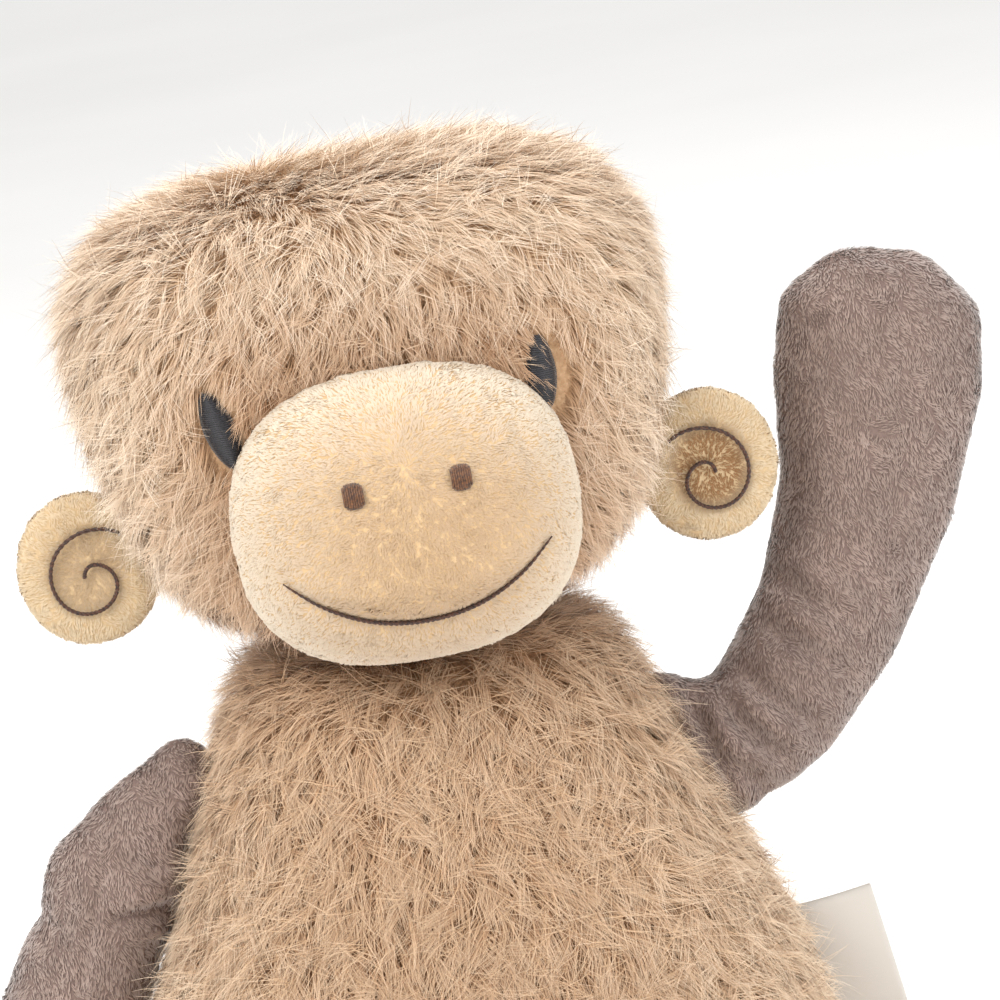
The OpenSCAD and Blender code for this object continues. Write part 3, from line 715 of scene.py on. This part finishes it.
def coat(name, skin, material, body, slot, per_mm2, comb, length, seed, keep=None, **how):
    """Hair all over a skin, in pieces small enough to export whole."""
    rng = np.random.default_rng(seed)
    _, _, area = scatter(skin, 10, np.random.default_rng(0), keep)
    total = int(area * MM2 * per_mm2)
    limit = MOST_TRIANGLES // (how["segments"] * 2)
    made, parts = [], max(1, math.ceil(total / limit))
    place, normal, _ = scatter(skin, total, rng, keep)
    order = np.argsort(place[:, 0], kind="stable")
    for k, some in enumerate(np.array_split(order, parts)):
        label = name if parts == 1 else f"{name}_{k + 1}"
        obj = hairs(label, place[some], normal[some], rng, comb, length,
                    density=per_mm2 * MM2, **how)
        obj.data.materials.append(material)
        made.append(obj)
        if body is not None:
            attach(obj, body)
    return made


def head_tint(place):
    """The middle of the face is a warmer brown than the cheeks and the crown."""
    rel = (place - head_mid) / head_half
    middle = np.clip(1.25 - 1.7 * np.abs(rel[:, 0]) ** 1.8, 0, 1)
    return middle * np.clip(1.0 - np.clip(rel[:, 2] - 0.2, 0, 1) * 1.8, 0, 1)


QUICK_SHARE = 1.0
dress(head_skin, HEAD_BACKING, "head", HEAD_NODES)
coat("head_fur", head_skin, HEAD_PILE, "head", "long_pile_head", 2.6 * QUICK_SHARE,
     head_comb, head_length, 11, head_keep, lift=0.40, lock_gap=2.6 * MM, gather=0.22,
     curl=0.26, width=0.20 * MM / QUICK_SHARE ** 0.5, segments=3, wander=0.17, tint=head_tint)
coat("head_wisps", head_skin, HEAD_WISP, "head", "long_pile_head", 0.55 * QUICK_SHARE,
     head_comb, lambda p: head_length(p) * 1.12, 12,
     lambda p, n: head_keep(p, n, 4 * MM), lift=0.52, lock_gap=2.4 * MM,
     gather=0.5, curl=0.5, width=0.17 * MM / QUICK_SHARE ** 0.5, segments=4, wander=0.34,
     tint=head_tint)

# %% [markdown]
# The body's pile is warmer and longer, flows down from the neck and outward at the hips,
# and its tips curl. It stops above the floor, where the toy's weight presses it flat.
# %% Body pile
body_low, body_high = points_of(body_skin).min(0), points_of(body_skin).max(0)
body_mid, body_half = (body_low + body_high) / 2, (body_high - body_low) / 2


def body_comb(place, normal):
    rel = (place - body_mid) / body_half
    sway = np.sin(place[:, 2] * 120 + place[:, 0] * 60) * 0.25
    return unit(np.stack([rel[:, 0] * 0.6 + sway, rel[:, 1] * 0.3, -np.ones(len(place))], axis=1))


def body_length(place):
    rel = (place - body_mid) / body_half
    low = np.clip((place[:, 2] - body_low[2]) / (18 * MM), 0.25, 1)
    return (12.5 + 5 * np.clip(np.abs(rel[:, 0]) - 0.4, 0, 1)) * MM * low


def body_tint(place):
    """The chest under the chin and the belly are deeper than the sides."""
    rel = (place - body_mid) / body_half
    return np.clip(1.15 - 1.4 * np.abs(rel[:, 0]) ** 1.6, 0, 1) * (rel[:, 1] < 0.2) * 0.62


def body_keep(place, normal):
    return np.where((normal[:, 2] < -0.6) & (place[:, 2] < 6 * MM), 0.0, 1.0)


dress(body_skin, BODY_BACKING, "torso", BODY_NODES)
coat("body_fur", body_skin, BODY_PILE, "torso", "long_pile_body", 2.1 * QUICK_SHARE,
     body_comb, body_length, 23, body_keep, lift=0.40, lock_gap=2.8 * MM, gather=0.26,
     curl=0.42, width=0.22 * MM / QUICK_SHARE ** 0.5, segments=3, wander=0.19, floor=0.0,
     tint=body_tint)
coat("body_wisps", body_skin, BODY_WISP, "torso", "long_pile_body", 0.45 * QUICK_SHARE,
     body_comb, lambda p: body_length(p) * 1.12, 24, body_keep, lift=0.52, lock_gap=2.8 * MM,
     gather=0.55, curl=0.9, width=0.18 * MM / QUICK_SHARE ** 0.5, segments=4, wander=0.34,
     floor=0.0, tint=body_tint)

# %% [markdown]
# Minky is a short, dense, brushed pile. It is the same kind of hair cut to a millimetre or
# two, so the outline of the muzzle and the ears stays fuzzy in close view.
# %% Muzzle


def radial_comb(middle, down=0.3):
    def comb(place, normal):
        way = place - middle
        way[:, 2] -= down * 0.02
        return unit(way + np.array([0, 0, -down * 0.01]))
    return comb


def muzzle_painted_shade(place):
    """Painted shade: deeper gold in the middle, most of all to the right of the nose and low down,
    and left pale round the edge.
    """
    rel = (place - muzzle_mid) / muzzle_half
    ring = np.clip(1 - (rel[:, 0] ** 2 + rel[:, 2] ** 2), 0, 1)
    warm = np.exp(-((rel[:, 0] - 0.55) / 0.3) ** 2 - ((rel[:, 2] - 0.1) / 0.45) ** 2)
    low = np.clip(-rel[:, 2], 0, 1)
    return np.clip(0.78 * ring ** 0.8 * (1 + 0.25 * low) + 0.12 * warm, 0, 1)


def short(value):
    return lambda place: np.full(len(place), value)


dress(muzzle_skin, CREAM_BACKING, "head", ["muzzle_cover"])
# The muzzle's tint is painted shade, deepest in its middle, on its right and low down.
coat("muzzle_fuzz", muzzle_skin, CREAM_PILE, "head", "cream_minky", 6.0 * QUICK_SHARE,
     radial_comb(muzzle_mid), short(1.15 * MM), 31, lambda p, n: (n[:, 1] < 0.5) * 1.0,
     lift=0.42, lock_gap=2.4 * MM, gather=0.08, curl=0.05, width=0.38 * MM, segments=2,
     wander=0.20, tint=muzzle_painted_shade, velvet=2.6)

# %% [markdown]
# The ears are tan minky, brushed outward from their middles. The hollow of an ear is darker,
# and the one on the raised arm's side is more in shade, so its tint is stronger. A tint on
# the pile does this without a painted texture.
# %% Ears
EAR_SHADE = {"left": 0.40, "right": 1.0}
for side in ("left", "right"):
    body = f"ear_{side}"
    dress(ears[side], TAN_BACKING, body, limb_nodes("ear", side))
    middle = points_of(ears[side]).mean(0)
    ear_half = np.ptp(points_of(ears[side]), axis=0) / 2

    def ear_tint(place):
        rel = (place - middle) / ear_half
        return np.clip((0.64 - np.hypot(rel[:, 0], rel[:, 2])) * 4, 0, 1) * EAR_SHADE[side]

    coat(f"ear_fuzz_{side}", ears[side], TAN_PILE, body, "tan_minky", 6.0 * QUICK_SHARE,
         radial_comb(middle, 0), short(1.3 * MM), 41, lift=0.42, lock_gap=2.0 * MM, gather=0.08,
         curl=0.05, width=0.32 * MM, segments=2, wander=0.24, tint=ear_tint, velvet=2.2)

# %% [markdown]
# The limbs are taupe minky with the pile brushed downward, and outward along a leg. An arm's
# skin and pile are not attached to a body, so they don't bend at the elbow.
# %% Arms, legs and tail


def arm_comb(place, normal):
    return unit(np.stack([0.2 * np.ones(len(place)), 0 * place[:, 0], -np.ones(len(place))],
                         axis=1))


def brushing_and_painted_light(place):
    """Brushed patches, where the pile turns its paler side as a hand has passed over it, and painted
    light: the limbs on the left, towards the key lamp, are lighter.
    """
    x, y, z = (place / (10 * MM)).T
    patch = (np.sin(2.1 * x + 1.3 * np.sin(1.7 * z)) * np.sin(1.9 * z + 1.1 * np.sin(2.3 * x + y))
             + 0.5 * np.sin(5.3 * x + 2.0 * np.sin(4.1 * z)) * np.sin(4.7 * z + y))
    # The term for x below nought is painted light: the left limbs are lighter, towards the key lamp.
    return np.clip(0.22 + 0.26 * patch + 0.22 * (x < 0), 0, 1)


# The coat of the legs and the tail, which lie on the floor
FLOOR_COAT = dict(lift=0.40, lock_gap=3.2 * MM, gather=0.08, curl=0.05, width=0.36 * MM,
                  segments=2, wander=0.35, floor=FLOOR_Z, velvet=2.2, tint=brushing_and_painted_light)
for side in ("left", "right"):
    arm = arms[side]
    arm.data.materials.append(TAUPE_BACKING)
    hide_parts(*limb_nodes("upper_arm", side), *limb_nodes("forearm", side))
    fuzz = coat(f"arm_fuzz_{side}", arm, TAUPE_PILE, None, "taupe_minky", 3.6 * QUICK_SHARE,
                arm_comb, short(1.6 * MM), 51, lift=0.40, lock_gap=3.2 * MM, gather=0.08,
                curl=0.15, width=0.38 * MM, segments=2, wander=0.20, velvet=2.4, tint=brushing_and_painted_light)
    for obj in [arm] + fuzz:
        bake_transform(obj)
    body = f"leg_{side}"
    dress(legs[side], TAUPE_BACKING, body, limb_nodes("leg", side, ("top", "under")))
    coat(f"leg_fuzz_{side}", legs[side], TAUPE_PILE, body, "taupe_minky", 2.0 * QUICK_SHARE,
         lambda p, n: unit(np.tile([0.0, -1.0, -0.2], (len(p), 1))), short(1.8 * MM), 61,
         **FLOOR_COAT)
dress(tail_skin, TAUPE_BACKING, "tail", ["tail_top", "tail_under"])
coat("tail_fuzz", tail_skin, TAUPE_PILE, "tail", "taupe_minky", 2.0 * QUICK_SHARE,
     lambda p, n: unit(np.tile([0.0, 1.0, -0.2], (len(p), 1))), short(1.8 * MM), 71,
     **FLOOR_COAT)

# %% [markdown]
# Embroidery is many fine threads side by side, each with its own small shine. An eye is a
# satin stitch: level threads across a tall oval. The mouth and the ear curls are a twisted
# line, so they are two strands wound round one path.
# %% Thread


def thread_material(name, dark, light):
    material, tree, shader = new_material(name, 0.42)
    shader.inputs["Specular IOR Level"].default_value = 0.5
    shader.inputs["Sheen Weight"].default_value = 0.2
    grain = noise_of(tree, 1600)
    tree.links.new(ramp_of(tree, grain, [(0.35, dark), (0.7, light)]), shader.inputs["Base Color"])
    bump_to(tree, shader, grain, 0.3, 0.0002)
    return material


BROWN_THREAD = thread_material("brown_thread", srgb("#24120c"), srgb("#5b3219"))
NOSE_THREAD = thread_material("nose_thread", srgb("#3a2012"), srgb("#7d4f28"))
BLACK_THREAD = thread_material("black_thread", srgb("#121116"), srgb("#2c2a30"))


def tube(points, radius, sides=6):
    """Vertices and faces of a closed tube through points, with its own radius at each."""
    points = np.asarray(points, float)
    radius = np.broadcast_to(radius, len(points))
    tangent = unit(np.gradient(points, axis=0))
    up = unit(np.cross(tangent, np.array([0.12, 1.0, 0.07])))
    other = np.cross(tangent, up)
    a = np.arange(sides) * 2 * math.pi / sides
    ring = (up[:, None] * np.cos(a)[None, :, None] + other[:, None] * np.sin(a)[None, :, None])
    vertices = (points[:, None] + ring * radius[:, None, None]).reshape(-1, 3)
    faces = []
    for k in range(len(points) - 1):
        for i in range(sides):
            j = (i + 1) % sides
            faces.append([k * sides + i, k * sides + j, (k + 1) * sides + j, (k + 1) * sides + i])
    faces.append(list(range(sides))[::-1])
    last = (len(points) - 1) * sides
    faces.append([last + i for i in range(sides)])
    return vertices, faces


def tubes_object(name, paths):
    vertices, faces = [], []
    for points, radius, sides in paths:
        v, f = tube(points, radius, sides)
        start = len(vertices)
        vertices += v.tolist()
        faces += [[start + i for i in face] for face in f]
    obj = mesh_object(name, vertices, faces)
    obj.data.polygons.foreach_set("use_smooth", [True] * len(obj.data.polygons))
    return obj


def surface_tree(*objects):
    vertices, faces = [], []
    for obj in objects:
        start = len(vertices)
        vertices += [obj.matrix_world @ v.co for v in obj.data.vertices]
        faces += [[start + i for i in p.vertices] for p in obj.data.polygons]
    return BVHTree.FromPolygons(vertices, faces)


RAY_FROM = -0.5


def front_of(tree, x, z, default):
    hit = tree.ray_cast(Vector((x, RAY_FROM, z)), Vector((0, 1, 0)))[0]
    return default if hit is None else hit.y


print("threads follow the skin's front, found by a ray from", -RAY_FROM, "m in front")

# %% [markdown]
# Each eye is a tall pointed oval of level threads, and each nostril a small square of upright
# ones. They were stitched by hand, so the two eyes lean and sit a little differently.
# %% Eyes and nostrils
bpy.context.view_layer.update()
head_tree, muzzle_tree = surface_tree(head_skin), surface_tree(muzzle_skin)
slot_of = {s["node"]: s["material_slot"] for s in frame["record"]["subparts"]}


def satin_patch(name, node, material, tree, thread, proud, upright=False, square=2.0,
                pointed=0.0, lean=0.0, shift=0.0, narrow=1.0):
    """Threads side by side across the box of a node, lifted off the cloth in the middle."""
    low, high = (np.array(v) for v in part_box(node))
    mid, half = (low + high) / 2, (high - low) / 2 * np.array([narrow, 1, 1])
    across, along = (0, 2) if upright else (2, 0)
    rows = max(5, int(2 * half[across] / thread))
    paths = []
    for row in range(rows):
        v = -1 + 2 * (row + 0.5) / rows
        reach = half[along] * (1 - abs(v) ** square) ** (1 / square) * (1 - pointed * max(0, v))
        line = []
        for u in np.linspace(-1, 1, 9):
            spot = np.zeros(3)
            spot[across], spot[along] = v * half[across], u * reach
            x, z = mid[0] + spot[0] - lean * spot[2] + shift, mid[2] + spot[2]
            y = front_of(tree, x, z, low[1])
            line.append([x, y - proud * math.sqrt(max(0.05, 1 - u * u * 0.95)), z])
        paths.append((line, thread * 0.62, 6))
    print(name, rows, "threads")
    return dress(tubes_object(name, paths), material, "head", [node])


# How far the top of each eye leans to the toy's right hand; the two don't match exactly
EYE_LEAN = {"left": 0.23, "right": -0.07}
EYE_SHIFT = {"left": -1.0 * MM, "right": -1.8 * MM}
for side in ("left", "right"):
    satin_patch(f"eye_stitches_{side}", f"eye_{side}", BLACK_THREAD, head_tree, 0.5 * MM, 3.4 * MM,
                pointed=0.22, lean=EYE_LEAN[side], shift=EYE_SHIFT[side], narrow=0.84)
    satin_patch(f"nostril_stitches_{side}", f"nostril_{side}", NOSE_THREAD, muzzle_tree,
                0.5 * MM, 1.7 * MM, upright=True, square=3.5)

# %% [markdown]
# The mouth is one line of stitches that thins to nothing at its ends. It lies in the groove
# that was pressed for it, a little proud of the pile, so that the hairs don't bury it.
# %% Mouth
ROPE_TURNS, STRAND_SHARE = 26, 0.62


def rope(centre, radius):
    """Two strands wound round a path; each strand is a share of the rope's radius."""
    centre = np.asarray(centre, float)
    tangent = unit(np.gradient(centre, axis=0))
    up = unit(np.cross(tangent, np.array([0.0, 1.0, 0.0])))
    other = np.cross(tangent, up)
    t = np.linspace(0, 1, len(centre))
    paths = []
    for phase in (0, math.pi):
        a = 2 * math.pi * ROPE_TURNS * t + phase
        offset = (up * np.cos(a)[:, None] + other * np.sin(a)[:, None]) * (radius * 0.45)[:, None]
        paths.append((centre + offset, radius * STRAND_SHARE, 6))
    return paths


xs = np.linspace(-1, 1, 121)
centre = []
for u in xs:
    x = mouth_mid_x + u * (mouth_reach - 0.6 * MM)
    z = float(mouth_level(x))
    centre.append([x, front_of(muzzle_tree, x, z, mouth_low[1]) - 1.15 * MM, z])
radius = 0.62 * MM * (0.30 + 0.70 * np.clip(1 - xs ** 2, 0, 1) ** 0.6)
mouth = tubes_object("mouth_rope", rope(centre, radius))
dress(mouth, BROWN_THREAD, "head", ["mouth_stitching"])
print("mouth rope", len(mouth.data.vertices), "points")

# %% [markdown]
# Each ear carries a stitched curl. It starts high on the side next to the head, goes over
# the top and down the outer side, and winds in. The two curls mirror each other.
# %% Ear curls

# The curl's angles as it winds in, in degrees, and how far it is from its middle there, in mm
CURL_ANGLES = [130, 60, 0, -90, -180, -270, -310]
CURL_REACH = [14.5, 11.5, 9, 7, 6.2, 4.2, 1.6]
CURL_POINTS, EASED = 111, 13        # points along a curl, and how many are averaged to ease it
for side, s in (("left", -1), ("right", 1)):
    ear_tree = surface_tree(ears[side])
    co = points_of(ears[side])
    mid, low = (co.min(0) + co.max(0)) / 2, co.min(0)
    angle = np.linspace(CURL_ANGLES[0], CURL_ANGLES[-1], CURL_POINTS)
    reach = np.interp(angle, CURL_ANGLES[::-1], CURL_REACH[::-1]) * MM
    reach = np.convolve(np.pad(reach, EASED // 2, "edge"), np.ones(EASED) / EASED, "valid")
    x = mid[0] + s * reach * np.cos(np.radians(angle))
    z = mid[2] - 3 * MM + reach * np.sin(np.radians(angle))
    centre = [[px, front_of(ear_tree, px, pz, low[1]) - 1.5 * MM, pz] for px, pz in zip(x, z)]
    curl = tubes_object(f"ear_curl_rope_{side}", rope(centre, np.full(CURL_POINTS, 0.55 * MM)))
    dress(curl, BROWN_THREAD, f"ear_{side}", [f"ear_curl_{side}"])
    print(curl.name, "from", CURL_REACH[0], "to", CURL_REACH[-1], "mm off its middle")

# %% [markdown]
# The label is a satin ribbon folded double and caught in the side seam. It is one thin
# sheet bent round a soft fold at its outer end, with a slight wave, so both leaves show.
# %% Label
label_low, label_high = (np.array(v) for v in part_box("side_label"))
RIBBON_THICKNESS = 0.25 * MM
leaf = label_high[0] - label_low[0] - 5.5 * MM        # one leaf, from the seam to the fold
label_tall = 40 * MM                                   # along the seam
HANG = 0.15        # how far the ribbon's free edge swings outward as it hangs down
columns, rows = 60, 16
fold_r = 0.7 * MM        # the soft fold at the outer end
flat_length = 2 * leaf + math.pi * fold_r
mid_y = (label_low[1] + label_high[1]) / 2
tilt = (label_high[2] - label_low[2] - label_tall) / (label_high[0] - label_low[0])
vertices = []
for c in range(columns + 1):
    d = flat_length * c / columns
    if d < leaf:
        x, y = d, -fold_r
    elif d > leaf + math.pi * fold_r:
        x, y = flat_length - d, fold_r
    else:
        a = (d - leaf) / fold_r
        x, y = leaf + fold_r * math.sin(a), -fold_r * math.cos(a)
    for r in range(rows + 1):
        v = r / rows
        wave = 0.9 * MM * math.sin(3.1 * v + 150 * x) * min(1, x / (6 * MM))
        hang = HANG * (1 - v) * label_tall
        vertices.append((label_low[0] + x + hang, mid_y + y + wave,
                         label_low[2] + v * label_tall + tilt * x))
step = rows + 1
faces = [[c * step + r, (c + 1) * step + r, (c + 1) * step + r + 1, c * step + r + 1]
         for c in range(columns) for r in range(rows)]
label = mesh_object("ribbon_label", vertices, faces)
thick = label.modifiers.new("thick", "SOLIDIFY")
thick.thickness, thick.offset = RIBBON_THICKNESS, 0
apply_all(label)
label.data.polygons.foreach_set("use_smooth", [True] * len(label.data.polygons))
RIBBON, tree, shader = new_material("satin_ribbon", 0.38)
shader.inputs["Sheen Weight"].default_value = 0.3
weave = tree.nodes.new("ShaderNodeTexWave")
weave.inputs["Scale"].default_value = 1400
place = tree.nodes.new("ShaderNodeTexCoord")
tree.links.new(place.outputs["Object"], weave.inputs["Vector"])
tree.links.new(ramp_of(tree, weave.outputs["Fac"], [(0.2, srgb("#bdb6ad")), (0.8, srgb("#d9d3cb"))]),
               shader.inputs["Base Color"])
bump_to(tree, shader, weave.outputs["Fac"], 0.35, 0.0001)
dress(label, RIBBON, "torso", ["side_label"])
print("ribbon flat", round(label_tall / MM, 1), "x", round(flat_length / MM, 1), "mm")

# %% [markdown]
# The inner pieces never show at rest, but they're real parts of the toy: fibre cores, the
# bean pouch, the neck and the ladder stitch that closes the back. They stay as the frame
# has them, with cloth and thread finishes in place of plain colour.
# %% Inner pieces
for node, obj in frame["nodes"].items():
    if obj.hide_render:
        continue
    kind = slot_of[node]
    finish = {"fibre_fill": FIBRE, "pouch_cloth": POUCH, "brown_thread": BROWN_THREAD,
              "black_thread": BLACK_THREAD, "long_pile_body": BODY_BACKING}.get(kind, TAUPE_BACKING)
    if not obj.material_slots:
        obj.data.materials.append(finish)
    for place in obj.material_slots:
        place.material = finish
print("inner nodes dressed")

# %% [markdown]
# A pale floor that runs far back, and three soft lights: a broad key from the upper left, a
# weaker fill from the right and a top light that catches the tips of the pile.
# %% Floor and lights
floor = mesh_object("floor", [(-12, -12, 0), (12, -12, 0), (12, 12, 0), (-12, 12, 0)], [[0, 1, 2, 3]])
FLOOR, tree, shader = new_material("floor_paper", 0.9)
tree.links.new(ramp_of(tree, noise_of(tree, 3), [(0.3, srgb("#f7f6f4")), (0.7, srgb("#fbfaf9"))]),
               shader.inputs["Base Color"])
floor.data.materials.append(FLOOR)
SUBJECT = Vector((0, 0, 0.16))        # what the lights point at


def soft_light(name, azimuth, elevation, distance, size, power, colour=(1, 1, 1)):
    data = bpy.data.lights.new(name, "AREA")
    data.shape, data.size, data.energy, data.color = "DISK", size, power, colour
    lamp = bpy.data.objects.new(name, data)
    bpy.context.scene.collection.objects.link(lamp)
    way = aim(azimuth, elevation)
    lamp.location = SUBJECT + way * distance
    lamp.rotation_mode = "QUATERNION"
    lamp.rotation_quaternion = way.to_track_quat("Z", "Y")


soft_light("key", -38, 42, 1.6, 1.0, 16, (1.0, 0.985, 0.965))
soft_light("fill", 48, 22, 1.7, 1.3, 9.5, (0.97, 0.98, 1.0))
soft_light("top", 170, 68, 1.5, 0.9, 13)
world = bpy.data.worlds.new("studio")
world.use_nodes = True
world.node_tree.nodes["Background"].inputs["Color"].default_value = (1, 1, 1, 1)
world.node_tree.nodes["Background"].inputs["Strength"].default_value = 0.86
bpy.context.scene.world = world
bpy.context.scene.view_settings.view_transform = "Standard"
print(len(bpy.data.lights), "lights on a", FLOOR.name, "floor")
